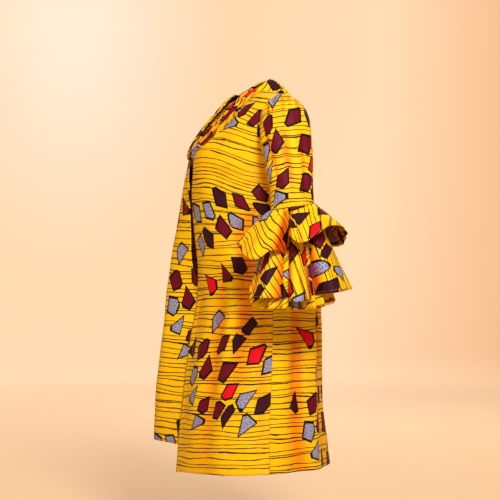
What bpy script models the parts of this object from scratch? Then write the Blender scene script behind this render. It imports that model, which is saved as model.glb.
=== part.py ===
"""A long, open-fronted coat of crisp printed cotton, as it hangs when worn.

The coat faces -Y, with its left side at +X. Its origin is midway between the shoulder
seams' neck ends, NECK_SIDE_Z above them. Every piece of cloth is a thin wall that has
its outer face on the body, a sleeve or a flounce, and stops just short of its neighbours.
"""

import math
from collections import namedtuple

import bmesh
import bpy
from mathutils import Vector

CLOTH = 0.0015
FLOUNCE_CLOTH = 0.0012
SEAM_GAP = 0.0004
SEAM_STRIP = 0.003
FRONT_BREADTH = 0.22
BACK_BREADTH = 0.44

# The body: level is the real height up to the bust, and above it runs evenly to 0 at the shoulder.
ARMPIT = -0.250
BUST = -0.164
FRONT_ROUNDNESS = 1.15
SIDE_ROUNDNESS = 2.0
ROUNDER_FROM_X = 0.085
FLAT_TOP_FROM = 0.85
BACK_ROUNDNESS = 2.5
Section = namedtuple("Section", "level half_width centre_y right_front left_front back")
SECTIONS = (
    Section(0.000, 0.200, 0.045, 0.190, 0.190, 0.103),
    Section(-0.066, 0.184, 0.045, 0.190, 0.190, 0.103),
    Section(-0.115, 0.173, 0.045, 0.189, 0.189, 0.103),
    Section(-0.164, 0.166, 0.045, 0.189, 0.189, 0.103),
    Section(-0.250, 0.168, 0.040, 0.196, 0.186, 0.118),
    Section(-0.325, 0.176, 0.035, 0.204, 0.178, 0.133),
    Section(-0.400, 0.185, 0.027, 0.211, 0.163, 0.151),
    Section(-0.480, 0.193, 0.020, 0.221, 0.149, 0.168),
    Section(-0.545, 0.200, 0.015, 0.231, 0.141, 0.182),
    Section(-0.675, 0.215, 0.005, 0.238, 0.150, 0.193),
    Section(-0.805, 0.232, -0.005, 0.240, 0.158, 0.204),
    Section(-0.908, 0.247, -0.012, 0.236, 0.162, 0.222),
    Section(-1.000, 0.258, -0.014, 0.236, 0.168, 0.236),
)
# The left front hangs back from the bust while the right one swings forward of it.
SWING_FROM = math.radians(5)
SWING_SPREAD = math.radians(35)

SHOULDER_SLOPE = 0.20
SHOULDER_POINT_X = 0.188
SHOULDER_POINT_Y = 0.045
NECK_HALF_WIDTH = 0.070
NECK_SIDE_Z = -0.006
NECK_BACK_Y = 0.073
NECK_BACK_RISE = 0.040
NECK_STAND = 4

# Soft folds in the body: angle runs from the front's middle round the left side to the back at 180.
Fold = namedtuple("Fold", "angle spread depth top bottom")
FOLDS = (
    Fold(58, 10, 0.012, -0.28, -0.70),
    Fold(34, 8, 0.006, -0.40, -0.95),
    Fold(112, 9, 0.011, -0.45, -1.05),
    Fold(143, 9, 0.008, -0.35, -1.05),
    Fold(180, 11, 0.006, -0.30, -1.05),
    Fold(216, 9, 0.009, -0.40, -1.05),
    Fold(250, 9, 0.011, -0.45, -1.05),
    Fold(302, 10, 0.011, -0.28, -0.75),
    Fold(330, 8, 0.006, -0.50, -1.05),
)
FOLD_STARTS_OVER = 0.16
FOLD_ENDS_OVER = 0.12

# Signed places of the two free front edges, from the foot of the V to the hem.
Edge = namedtuple("Edge", "level left_x right_x")
FRONT_EDGES = (
    Edge(-0.150, 0.016, -0.018),
    Edge(-0.225, 0.015, -0.017),
    Edge(-0.265, 0.008, -0.006),
    Edge(-0.360, 0.010, -0.006),
    Edge(-0.450, 0.012, -0.010),
    Edge(-0.525, 0.003, 0.004),
    Edge(-0.620, -0.002, 0.028),
    Edge(-0.800, -0.002, 0.034),
    Edge(-1.000, 0.000, 0.036),
)
# The right front's edge sinks behind the left one, over this height and this turn of the body.
UNDERLAP_FROM = -0.44
UNDERLAP_SINK = 0.009
UNDERLAP_STARTS_OVER = 0.10
UNDERLAP_TURN = 0.35
Hem = namedtuple("Hem", "left_edge left_side back_middle right_side right_edge")
HEM = Hem(-0.985, -0.963, -0.966, -0.945, -0.920)
RIGHT_HEM_LIFT = 0.018
LEFT_HEM_BEND = 0.6

# Half the breadth of the coat at each level of the armhole and of the V neck.
Armhole = namedtuple("Armhole", "level front_x back_x")
ARMHOLE = (
    Armhole(0.000, 0.188, 0.188),
    Armhole(-0.030, 0.181, 0.179),
    Armhole(-0.066, 0.172, 0.168),
    Armhole(-0.115, 0.164, 0.158),
    Armhole(-0.164, 0.161, 0.155),
    Armhole(-0.210, 0.164, 0.160),
    Armhole(-0.250, 0.168, 0.168),
)
BAND_FOOT = -0.186
Seam = namedtuple("Seam", "level x")
BAND_SEAM = (
    Seam(0.000, 0.108),
    Seam(-0.072, 0.098),
    Seam(-0.110, 0.070),
    Seam(-0.157, 0.034),
    Seam(BAND_FOOT, 0.016),
)
NECK_EDGE = (
    Seam(0.000, 0.070),
    Seam(-0.057, 0.067),
    Seam(-0.078, 0.058),
    Seam(-0.105, 0.040),
    Seam(-0.124, 0.026),
    Seam(-0.148, 0.016),
)
BAND_STAND = 0.0012
BAND_FOLDS = 3
BAND_FOLD_HEIGHT = 0.0016
BAND_TOP_FADE = 6
BAND_EDGE_FADE = 4

HEM_TO_ARMPIT = (0, 0.006, 0.1, 0.2, 0.3, 0.4, 0.51, 0.63, 0.75, 0.87, 1)
ARMPIT_TO_BUST = (-0.232, -0.210, BAND_FOOT, BUST)
BUST_TO_SHOULDER = (0.14, 0.28, 0.42, 0.56, 0.70, 0.84, 0.98, 1)
FRONT_COLUMNS = 11
BACK_COLUMNS = 20
BAND_COLUMNS = 6

# The sleeve hangs from the armhole to the elbow, where the flounces are gathered to it.
SLEEVE_ROWS = (0.0, 0.03, 0.16, 0.32, 0.52, 0.76, 1.0)
SLEEVE_SPLITS = 2
ELBOW = Vector((0.252, 0.045, -0.310))
ELBOW_HALF_X = 0.050
ELBOW_HALF_Y = 0.053
ELBOW_FRONT_DROP = 0.009
ARM_REACH = 0.100
ARM_HANGS_IN = 0.012
# How the cloth leaves the armhole: outward, to the front and back, up and down, and fuller behind.
CAP_OUT = 0.80
CAP_SPREAD = 0.42
CAP_RISE = 0.32
CAP_DROP = 0.40
CAP_REACH = 0.062
BACK_FULLNESS = 0.30
BACK_RISE = 0.60
BACK_REACH = 0.25
CAP_GATHERS = 14
CAP_GATHER_DEPTH = 0.0022
GATHERS_ROUND_CAP = 1.6
GATHERS_START_OVER = 0.16
GATHERS_END_AT = 0.62
GATHERS_END_OVER = 0.40

# Flounces, outermost first. The front, outer, back and inner reaches are taken from the arm's middle.
Flounce = namedtuple(
    "Flounce", "name top_shrink front outer back inner front_hem back_hem flare waves turn height"
)
FLOUNCES = (
    Flounce("top", 0.0000, 0.130, 0.112, 0.126, 0.055, -0.424, -0.374, 0.62, 5, 0.96, 0.022),
    Flounce("middle", 0.0016, 0.118, 0.104, 0.136, 0.049, -0.530, -0.512, 1.10, 7, 2.60, 0.016),
    Flounce("under", 0.0032, 0.094, 0.078, 0.102, 0.044, -0.556, -0.548, 1.25, 9, 1.20, 0.011),
)
ARM_LEAN = 0.080
HEM_RIPPLE = 0.006
INNER_CALM = 0.15
BROAD_UNEVENNESS = 0.30
FINE_UNEVENNESS = 0.20
UNEVEN_TURN = 0.7
FLOUNCE_POINTS = 54
FLOUNCE_ROWS = (0.0, 0.05, 0.35, 0.68, 1.0)

# Yellow of the cloth, and the deeper one of the folded band.
YELLOW = (0.96, 0.55, 0.01)
DEEP_YELLOW = (0.90, 0.42, 0.01)


def smooth(value):
    """Runs from 0 to 1 as value does, with no corner at either end."""
    value = min(max(value, 0.0), 1.0)
    return value * value * (3 - 2 * value)


def blend(start, end, share):
    return start + (end - start) * share


def read_table(rows, level):
    """Reads every column of a table at one level, on a smooth curve through its rows, top row first."""
    if level >= rows[0].level:
        return rows[0]
    if level <= rows[-1].level:
        return rows[-1]
    after = next(i for i, row in enumerate(rows) if row.level < level)
    before = after - 1
    outer_before = rows[max(before - 1, 0)]
    outer_after = rows[min(after + 1, len(rows) - 1)]
    start, end = rows[before], rows[after]
    step = end.level - start.level
    t = (level - start.level) / step
    values = []
    for p0, p1, p2, p3 in zip(outer_before, start, end, outer_after):
        slope_start = (p2 - p0) / (end.level - outer_before.level) * step
        slope_end = (p3 - p1) / (outer_after.level - start.level) * step
        values.append(
            (2 * t**3 - 3 * t**2 + 1) * p1
            + (t**3 - 2 * t**2 + t) * slope_start
            + (3 * t**2 - 2 * t**3) * p2
            + (t**3 - t**2) * slope_end
        )
    return type(start)(*values)


def ridge_point(x, at_back):
    """The top of the shoulder at this breadth: its y and z."""
    beyond_neck = abs(x) - NECK_HALF_WIDTH
    y = SHOULDER_POINT_Y * max(beyond_neck, 0.0) / (SHOULDER_POINT_X - NECK_HALF_WIDTH)
    z = NECK_SIDE_Z - SHOULDER_SLOPE * beyond_neck
    if at_back and beyond_neck < 0:
        z = blend(NECK_BACK_RISE, NECK_SIDE_Z, abs(x / NECK_HALF_WIDTH) ** NECK_STAND)
    return y, z


def fold_depth(angle, z):
    turn = math.degrees(angle) % 360
    depth = 0.0
    for fold in FOLDS:
        away = (turn - fold.angle + 180) % 360 - 180
        fade = smooth((fold.top - z) / FOLD_STARTS_OVER) * smooth((z - fold.bottom) / FOLD_ENDS_OVER + 1)
        depth += fold.depth * fade * math.exp(-((away / fold.spread) ** 2))
    return depth


def body_point(angle, level):
    """A point on the outer face of the body, by the angle from the front's middle and the level."""
    section = read_table(SECTIONS, level)
    at_back = math.cos(angle) < 0
    x = section.half_width * math.sin(angle)
    depth = section.back
    if not at_back:
        swing = smooth((SWING_FROM - angle) / SWING_SPREAD)
        depth = blend(section.left_front, section.right_front, swing)
    y = section.centre_y - depth * math.cos(angle)
    if level <= BUST:
        dent = fold_depth(angle, level)
        return Vector((x - dent * math.sin(angle), y + dent * math.cos(angle), level))
    roundness = BACK_ROUNDNESS
    if not at_back:
        towards_side = (abs(x) - ROUNDER_FROM_X) / (SHOULDER_POINT_X - ROUNDER_FROM_X)
        towards_ridge = (1 - level / BUST - FLAT_TOP_FROM) / (1 - FLAT_TOP_FROM)
        rounder = max(smooth(towards_side), smooth(towards_ridge))
        roundness = blend(FRONT_ROUNDNESS, SIDE_ROUNDNESS, rounder)
    turn = math.pi / 2 * (1 - level / BUST)
    rise = max(math.sin(turn), 0.0) ** (2 / roundness)
    keep = max(math.cos(turn), 0.0) ** (2 / roundness)
    ridge_y, ridge_z = ridge_point(x, at_back)
    return Vector((x, blend(ridge_y, y, keep), blend(BUST, ridge_z, rise)))


def outward(angle, level):
    """The body's outward direction at a point, from two short steps along its surface."""
    step = 0.01
    around = body_point(angle + step, level) - body_point(angle - step, level)
    lower = max(level - step, HEM.left_edge)
    upward = body_point(angle, min(lower + 2 * step, -step)) - body_point(angle, lower)
    return around.cross(upward).normalized()


def angle_at(x, level):
    ratio = x / read_table(SECTIONS, level).half_width
    return math.asin(min(max(ratio, -1.0), 1.0))


def new_material(name, colour):
    material = bpy.data.materials.new(name)
    material.use_nodes = True
    shader = material.node_tree.nodes["Principled BSDF"]
    shader.inputs["Base Color"].default_value = (*colour, 1.0)
    shader.inputs["Roughness"].default_value = 0.72
    shader.inputs["Metallic"].default_value = 0.0
    return material


def cloth_wall(name, grid, colour, thickness=CLOTH, closed=False, flip=False):
    """Lays a flat grid of cloth on the given rows of points and gives it a thickness on its inner side."""
    rows, columns = len(grid) - 1, len(grid[0]) - 1
    bm = bmesh.new()
    bmesh.ops.create_grid(bm, x_segments=columns, y_segments=rows, size=0.5)
    for vert in bm.verts:
        column = round((vert.co.x + 0.5) * columns)
        row = round((vert.co.y + 0.5) * rows)
        vert.co = grid[row][column]
    if closed:
        bmesh.ops.remove_doubles(bm, verts=bm.verts, dist=1e-6)
    if flip:
        bmesh.ops.reverse_faces(bm, faces=bm.faces)
    mesh = bpy.data.meshes.new(name)
    bm.to_mesh(mesh)
    bm.free()
    mesh.shade_smooth()
    mesh.materials.append(new_material(name, colour))
    piece = bpy.data.objects.new(name, mesh)
    coat.objects.link(piece)
    wall = piece.modifiers.new("cloth thickness", "SOLIDIFY")
    wall.thickness = thickness
    wall.offset = -1
    wall.use_even_offset = True
    wall.use_quality_normals = True
    return piece


def with_strips(count, length):
    """Even shares from 0 to 1 with a narrow strip of cloth along each end, for a run of this length."""
    strip = SEAM_STRIP / length
    return [0.0, strip, *(i / count for i in range(1, count)), 1 - strip, 1.0]


def body_levels():
    """One entry for each row of the body: its share of the way from hem to armpit, or its level."""
    rows = [("share", share) for share in HEM_TO_ARMPIT]
    rows += [("level", level) for level in ARMPIT_TO_BUST]
    rows += [("level", BUST * (1 - share)) for share in BUST_TO_SHOULDER]
    return rows


def front_edge_x(side, level):
    if level > BAND_FOOT:
        return side * (read_table(BAND_SEAM, level).x + SEAM_GAP)
    edges = read_table(FRONT_EDGES, level)
    return edges.left_x if side > 0 else edges.right_x


def front_hem(side, share):
    if side > 0:
        return blend(HEM.left_edge, HEM.left_side, share**LEFT_HEM_BEND)
    return blend(HEM.right_edge, HEM.right_side, smooth(share)) + RIGHT_HEM_LIFT * math.sin(math.pi * share)


def front_row(side, kind, value):
    """One row of a front, from its free edge to its side seam or armhole."""
    points = []
    for share in with_strips(FRONT_COLUMNS, FRONT_BREADTH):
        level = value
        if kind == "share":
            level = blend(front_hem(side, share), ARMPIT, value)
        inner = angle_at(front_edge_x(side, level), level)
        outer = math.pi / 2
        if kind == "level":
            outer = angle_at(read_table(ARMHOLE, level).front_x, level)
        outer -= SEAM_GAP / 2 / SHOULDER_POINT_X
        angle = blend(inner, side * outer, share)
        point = body_point(angle, level)
        if side < 0:
            below = smooth((UNDERLAP_FROM - level) / UNDERLAP_STARTS_OVER)
            point.y += UNDERLAP_SINK * below * smooth(1 - (inner - angle) / UNDERLAP_TURN)
        if level == 0:
            point.y -= SEAM_GAP / 2
        points.append(point)
    return points


def make_front(name, side):
    grid = [front_row(side, kind, value) for kind, value in body_levels()]
    cloth_wall(name, grid, YELLOW, flip=side < 0)


def neckline_turn(x_top):
    """How far round the shoulder the back reaches at this breadth, short of the ridge inside the neck."""
    across = min(abs(x_top) / NECK_HALF_WIDTH, 1.0)
    shoulder = SECTIONS[0]
    keep = NECK_BACK_Y * math.sqrt(1 - across**2) / (shoulder.centre_y + shoulder.back)
    return math.acos(keep ** (BACK_ROUNDNESS / 2)) / (math.pi / 2)


def back_hem(across):
    side = HEM.left_side if across > 0 else HEM.right_side
    return blend(HEM.back_middle, side, smooth(abs(across)))


def back_row(kind, value):
    """One row of the back, from its left seam to its right one."""
    points = []
    for share in with_strips(BACK_COLUMNS, BACK_BREADTH):
        across = 1 - 2 * share
        level = value
        if kind == "share":
            level = blend(back_hem(across), ARMPIT, value)
        outer = math.pi / 2
        if kind == "level":
            outer = angle_at(read_table(ARMHOLE, level).back_x, level)
        outer -= SEAM_GAP / 2 / SHOULDER_POINT_X
        if kind == "level" and level > BUST:
            reach = neckline_turn(SHOULDER_POINT_X * math.sin(across * outer) / math.sin(outer))
            level = BUST * (1 - reach * (1 - level / BUST))
        point = body_point(math.pi - across * outer, level)
        if level == 0:
            point.y += SEAM_GAP / 2
        points.append(point)
    return points


def make_back():
    grid = [back_row(kind, value) for kind, value in body_levels()]
    cloth_wall("back", grid, YELLOW)


def make_neckband(name, side):
    """The soft band of folded cloth from the foot of the V to the shoulder seam."""
    grid = []
    for kind, outer_level in body_levels():
        if kind == "share" or outer_level < BAND_FOOT:
            continue
        up = 1 - outer_level / BAND_FOOT
        inner_level = blend(NECK_EDGE[-1].level, 0.0, up)
        inner = angle_at(read_table(NECK_EDGE, inner_level).x, inner_level)
        outer = angle_at(read_table(BAND_SEAM, outer_level).x - SEAM_GAP, outer_level)
        points = []
        for column in range(BAND_COLUMNS + 1):
            across = column / BAND_COLUMNS
            level = blend(inner_level, outer_level, across)
            angle = side * blend(inner, outer, across)
            fold = 0.5 - 0.5 * math.cos(2 * math.pi * BAND_FOLDS * across)
            fade = smooth((1 - up) * BAND_TOP_FADE)
            fade *= smooth(across * BAND_EDGE_FADE) * smooth((1 - across) * BAND_EDGE_FADE)
            lift = (BAND_STAND + BAND_FOLD_HEIGHT * fold) * fade
            point = body_point(angle, level) + outward(angle, level) * lift
            if outer_level == 0:
                point.y -= SEAM_GAP / 2
            points.append(point)
        grid.append(points)
    cloth_wall(name, grid, DEEP_YELLOW, flip=side < 0)


def armhole_ring(side):
    """The armhole's points from the shoulder down the front and up the back, on the body's own edges."""
    rows = [row for row in body_levels() if row[0] == "level"]
    front = [front_row(side, *row)[-1] for row in reversed(rows)]
    back = [back_row(*row)[0 if side > 0 else -1] for row in rows]
    armpit = body_point(side * math.pi / 2, ARMPIT)
    ring = [*front, armpit, *back, front[0]]
    ring[0] = ring[-1] = (front[0] + back[-1]) / 2
    fine = []
    for start, end in zip(ring, ring[1:]):
        fine += [start.lerp(end, i / SLEEVE_SPLITS) for i in range(SLEEVE_SPLITS)]
    return [*fine, ring[0]]


def make_sleeve(name, side):
    """The sleeve from the armhole to the elbow, with small gathers in the top of its cap."""
    ring = armhole_ring(side)
    lengths = [0.0]
    for start, end in zip(ring, ring[1:]):
        lengths.append(lengths[-1] + (end - start).length)
    grid = []
    for down in SLEEVE_ROWS:
        points = []
        for seam, length in zip(ring, lengths):
            turn = 2 * math.pi * length / lengths[-1]
            behind = max(-math.sin(turn), 0.0) ** 2
            leave = Vector((side * CAP_OUT,
                            BACK_FULLNESS * behind - CAP_SPREAD * math.sin(turn),
                            BACK_RISE * behind + CAP_RISE * math.cos(turn) - CAP_DROP)).normalized()
            start = seam + leave * SEAM_GAP
            cuff = Vector((side * (ELBOW.x + ELBOW_HALF_X * math.cos(turn)),
                           ELBOW.y - ELBOW_HALF_Y * math.sin(turn),
                           ELBOW.z - ELBOW_FRONT_DROP * math.sin(turn)))
            reach = start + leave * CAP_REACH * (1 + BACK_REACH * behind)
            hang = cuff + Vector((-side * ARM_HANGS_IN, 0, ARM_REACH))
            point = (
                start * (1 - down) ** 3
                + reach * 3 * down * (1 - down) ** 2
                + hang * 3 * down**2 * (1 - down)
                + cuff * down**3
            )
            near_top = smooth(math.cos(turn) * GATHERS_ROUND_CAP) * smooth(down / GATHERS_START_OVER)
            near_top *= smooth((GATHERS_END_AT - down) / GATHERS_END_OVER)
            gather = CAP_GATHER_DEPTH * near_top * math.sin(CAP_GATHERS * turn)
            points.append(point + Vector((0, 0, gather)) + leave * gather / 2)
        grid.append(points)
    grid.reverse()
    for row in grid:
        row[-1] = row[0]
    cloth_wall(name, grid, YELLOW, closed=True, flip=side > 0)


def make_flounce(flounce, side, hand):
    """One ring of the sleeve's end, gathered at the elbow and standing out in uneven waves."""
    grid = []
    for down in FLOUNCE_ROWS:
        points = []
        for i in range(FLOUNCE_POINTS + 1):
            turn = 2 * math.pi * (i % FLOUNCE_POINTS) / FLOUNCE_POINTS
            top_x = ELBOW_HALF_X - flounce.top_shrink
            top_y = ELBOW_HALF_Y - flounce.top_shrink
            spread = down**flounce.flare
            x = blend(top_x, flounce.outer if math.cos(turn) > 0 else flounce.inner, spread)
            y = blend(top_y, flounce.front if math.sin(turn) > 0 else flounce.back, spread)
            uneven = 1 + BROAD_UNEVENNESS * math.sin(2 * turn + UNEVEN_TURN)
            uneven += FINE_UNEVENNESS * math.sin(3 * turn)
            calm = blend(INNER_CALM, 1.0, smooth(0.5 + math.cos(turn)))
            swell = calm * math.cos(flounce.waves * turn + flounce.turn)
            wave = flounce.height * down * uneven * swell
            hem = blend(flounce.front_hem, flounce.back_hem, 0.5 - 0.5 * math.sin(turn))
            hem -= HEM_RIPPLE * swell
            top = ELBOW.z - SEAM_GAP - flounce.top_shrink - ELBOW_FRONT_DROP * math.sin(turn)
            z = blend(top, hem, down)
            middle = ELBOW.x + ARM_LEAN * (ELBOW.z - z)
            points.append(Vector((side * (middle + (x + wave) * math.cos(turn)),
                                  ELBOW.y - (y + wave) * math.sin(turn), z)))
        points[-1] = points[0]
        grid.append(points)
    grid.reverse()
    cloth_wall(f"flounce_{flounce.name}_{hand}", grid, YELLOW, FLOUNCE_CLOTH, closed=True, flip=side > 0)


for old in list(bpy.data.objects):
    bpy.data.objects.remove(old, do_unlink=True)
coat = bpy.data.collections.new("long_coat")
bpy.context.scene.collection.children.link(coat)

make_back()
for hand, side in (("left", 1), ("right", -1)):
    make_front(f"front_{hand}", side)
    make_neckband(f"neckband_{hand}", side)
    make_sleeve(f"sleeve_{hand}", side)
    for flounce in FLOUNCES:
        make_flounce(flounce, side, hand)
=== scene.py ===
"""The looks of a long, open-fronted coat of crisp printed cotton, as it hangs when worn."""

import math
from collections import namedtuple

import bmesh
import bpy
import numpy as np
from mathutils import Matrix, Vector


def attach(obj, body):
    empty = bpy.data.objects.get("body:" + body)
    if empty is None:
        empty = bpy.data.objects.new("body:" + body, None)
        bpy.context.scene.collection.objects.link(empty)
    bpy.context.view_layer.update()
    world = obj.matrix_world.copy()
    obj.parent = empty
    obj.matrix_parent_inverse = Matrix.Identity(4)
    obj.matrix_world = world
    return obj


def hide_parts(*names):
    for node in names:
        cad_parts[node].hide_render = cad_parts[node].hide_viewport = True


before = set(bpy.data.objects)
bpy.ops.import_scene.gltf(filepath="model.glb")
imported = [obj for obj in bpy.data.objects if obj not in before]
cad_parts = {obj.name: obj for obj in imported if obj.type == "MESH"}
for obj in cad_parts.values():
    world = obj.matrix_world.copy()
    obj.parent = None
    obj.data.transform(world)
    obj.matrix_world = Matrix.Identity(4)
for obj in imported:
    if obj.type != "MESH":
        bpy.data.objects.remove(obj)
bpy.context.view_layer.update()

# The view: from the coat's left and a little to its front, level with its middle, with a
# long lens. The coat hangs over a plain, pale peach floor that curves up into a backdrop.
VIEW_TURN = math.radians(73)
VIEW_DISTANCE = 4.0
VIEW_HEIGHT = -0.416
VIEW_SIDESTEP = 0.013
LENS = 110.9
SENSOR_WIDTH = 36
towards_view = Vector((math.sin(VIEW_TURN), -math.cos(VIEW_TURN), 0))
right_of_view = Vector((math.cos(VIEW_TURN), math.sin(VIEW_TURN), 0))
skyward = Vector((0, 0, 1))


def place_object(name, data):
    """Puts an object with this data into the scene."""
    thing = bpy.data.objects.new(name, data)
    bpy.context.scene.collection.objects.link(thing)
    return thing


camera_data = bpy.data.cameras.new("camera")
camera_data.lens = LENS
camera_data.sensor_width = SENSOR_WIDTH
camera = place_object("camera", camera_data)
camera.location = towards_view * VIEW_DISTANCE + right_of_view * VIEW_SIDESTEP + skyward * VIEW_HEIGHT
camera.rotation_euler = (math.pi / 2, 0, VIEW_TURN)
bpy.context.scene.camera = camera
bpy.context.scene.view_settings.view_transform = "Standard"


def place_mesh(name, bm, *materials):
    """Puts a finished bmesh into the scene as a smooth object with these materials."""
    mesh = bpy.data.meshes.new(name)
    bm.to_mesh(mesh)
    bm.free()
    mesh.shade_smooth()
    for material in materials:
        mesh.materials.append(material)
    return place_object(name, mesh)


class Nodes:
    """Builds a node tree. What feeds a socket is a number, a tuple or another node's output."""

    def __init__(self, tree):
        self.tree = tree

    def feed(self, socket, value):
        if isinstance(value, bpy.types.NodeSocket):
            self.tree.links.new(value, socket)
        else:
            socket.default_value = value

    def feed_shader(self, inputs):
        for name, value in inputs.items():
            self.feed(self.tree.nodes["Principled BSDF"].inputs[name], value)

    def add(self, kind, inputs=(), **settings):
        node = self.tree.nodes.new(f"ShaderNode{kind}")
        for name, value in settings.items():
            setattr(node, name, value)
        for name, value in dict(inputs).items():
            self.feed(node.inputs[name], value)
        return node

    def math(self, kind, *values):
        return self.add("Math", enumerate(values), operation=kind).outputs[0]

    def vector(self, kind, *values):
        node = self.add("VectorMath", enumerate(values), operation=kind)
        return node.outputs["Value" if kind == "LENGTH" else "Vector"]

    def times(self, value, factor):
        return self.math("MULTIPLY", value, factor)

    def times_plus(self, value, factor, addend):
        return self.math("MULTIPLY_ADD", value, factor, addend)

    def limited(self, value):
        """Keeps a value between 0 and 1."""
        return self.math("MAXIMUM", self.math("MINIMUM", value, 1.0), 0.0)

    def split(self, vector):
        return self.add("SeparateXYZ", {"Vector": vector}).outputs

    def joined(self, x, y):
        return self.add("CombineXYZ", {"X": x, "Y": y}).outputs[0]

    def turned(self, vector, angle):
        inputs = {"Vector": vector, "Angle": angle}
        return self.add("VectorRotate", inputs, rotation_type="Z_AXIS").outputs[0]

    def noise(self, vector, scale, detail=2.0):
        return self.add("TexNoise", {"Vector": vector, "Scale": scale, "Detail": detail}).outputs["Fac"]

    def mix(self, share, first, second, blend_type="MIX"):
        inputs = {"Factor": share, "A": first, "B": second}
        node = self.add("Mix", inputs, data_type="RGBA", blend_type=blend_type)
        return next(socket for socket in node.outputs if socket.type == "RGBA")

    def ramp(self, share, stops, interpolation="LINEAR"):
        """Adds a colour ramp with these stops, which are pairs of a place and a colour."""
        node = self.add("ValToRGB", {"Fac": share})
        node.color_ramp.interpolation = interpolation
        for place, _ in stops[1:-1]:
            node.color_ramp.elements.new(place)
        for element, (place, colour) in zip(node.color_ramp.elements, stops):
            element.position = place
            element.color = colour
        return node


def new_material(name):
    material = bpy.data.materials.new(name)
    material.use_nodes = True
    return material, Nodes(material.node_tree)


FLOOR_Z = -1.16
FLOOR_RADIUS = 7.0
FLOOR_SEGMENTS = 96
SWEEP_RADIUS = 2.2
SWEEP_STEPS = 12
WALL_HEIGHT = 6.0
BACKDROP_COLOUR = (0.84, 0.60, 0.37, 1.0)
GLOW_MIDDLE = right_of_view * -1.5 - towards_view * 9.2 + skyward * 1.55
GLOW_REACH = (4.3, 30.0, 7.1)
GLOWS = (
    (0.05, (0.74, 0.67, 0.59, 1)),
    (0.30, (0.72, 0.52, 0.36, 1)),
    (0.62, (0.72, 0.55, 0.39, 1)),
    (0.87, (0.56, 0.35, 0.21, 1)),
)
DIM_WITHIN = 1.1
BRIGHT_BEYOND = 5.2
DIM_SHARE = 0.30
# Painted light: the paper glows to the camera alone, in a broad pool of warm light behind the coat and off
# to one side, and only dimly near the coat.
paper, nodes = new_material("peach paper")
place = nodes.add("TexCoord").outputs["Object"]
in_glow = nodes.add("Mapping", {
    "Vector": place, "Location": GLOW_MIDDLE, "Rotation": (0, 0, VIEW_TURN), "Scale": GLOW_REACH,
}, vector_type="TEXTURE")
bright = nodes.add("MapRange", {
    "Value": nodes.vector("LENGTH", place), "From Min": DIM_WITHIN, "From Max": BRIGHT_BEYOND,
    "To Min": DIM_SHARE, "To Max": 1.0,
})
seen = nodes.add("LightPath").outputs["Is Camera Ray"]
nodes.feed_shader({
    "Base Color": BACKDROP_COLOUR,
    "Roughness": 0.9,
    "Specular IOR Level": 0.1,
    "Emission Color": nodes.ramp(nodes.vector("LENGTH", in_glow.outputs[0]), GLOWS).outputs["Color"],
    "Emission Strength": nodes.times(seen, bright.outputs["Result"]),
})
bm = bmesh.new()
bmesh.ops.create_circle(bm, cap_ends=True, cap_tris=False, segments=FLOOR_SEGMENTS, radius=FLOOR_RADIUS)
bmesh.ops.translate(bm, verts=bm.verts, vec=(0, 0, FLOOR_Z))
rim = [edge for edge in bm.edges if edge.is_boundary]
for step in range(1, SWEEP_STEPS + 1):
    turn = math.pi / 2 * step / SWEEP_STEPS
    raised = bmesh.ops.extrude_edge_only(bm, edges=rim)["geom"]
    rim = [item for item in raised if isinstance(item, bmesh.types.BMEdge)]
    for vert in {vert for edge in rim for vert in edge.verts}:
        outward = Vector((vert.co.x, vert.co.y, 0)).normalized()
        height = FLOOR_Z + SWEEP_RADIUS * (1 - math.cos(turn))
        vert.co = outward * (FLOOR_RADIUS + SWEEP_RADIUS * math.sin(turn)) + skyward * height
raised = bmesh.ops.extrude_edge_only(bm, edges=rim)["geom"]
top_rim = [item for item in raised if isinstance(item, bmesh.types.BMVert)]
bmesh.ops.translate(bm, verts=top_rim, vec=(0, 0, WALL_HEIGHT))
bmesh.ops.recalc_face_normals(bm, faces=bm.faces)
place_mesh("backdrop", bm, paper)

Lamp = namedtuple("Lamp", "name turn height distance breadth power colour")
LAMPS = (
    Lamp("key", 88, 1.25, 2.6, 0.8, 80, (1.0, 0.98, 0.92)),
    Lamp("fill", 20, 0.5, 2.9, 2.0, 14, (1.0, 0.84, 0.66)),
    Lamp("behind", 236, 1.2, 2.8, 2.0, 24, (1.0, 0.92, 0.82)),
)
LIT_POINT = Vector((0, 0, -0.45))
WORLD_COLOUR = (1.0, 0.86, 0.72, 1)
WORLD_STRENGTH = 0.45
for lamp in LAMPS:
    light = bpy.data.lights.new(lamp.name, "AREA")
    light.size = lamp.breadth
    light.energy = lamp.power
    light.color = lamp.colour
    holder = place_object(lamp.name, light)
    turn = math.radians(lamp.turn)
    outward = Vector((math.sin(turn), -math.cos(turn), 0))
    holder.location = outward * lamp.distance + skyward * lamp.height
    holder.rotation_euler = (LIT_POINT - holder.location).to_track_quat("-Z", "Y").to_euler()
    holder.visible_camera = False
world = bpy.data.worlds.new("studio")
world.use_nodes = True
world.node_tree.nodes["Background"].inputs["Color"].default_value = WORLD_COLOUR
world.node_tree.nodes["Background"].inputs["Strength"].default_value = WORLD_STRENGTH
bpy.context.scene.world = world

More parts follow.
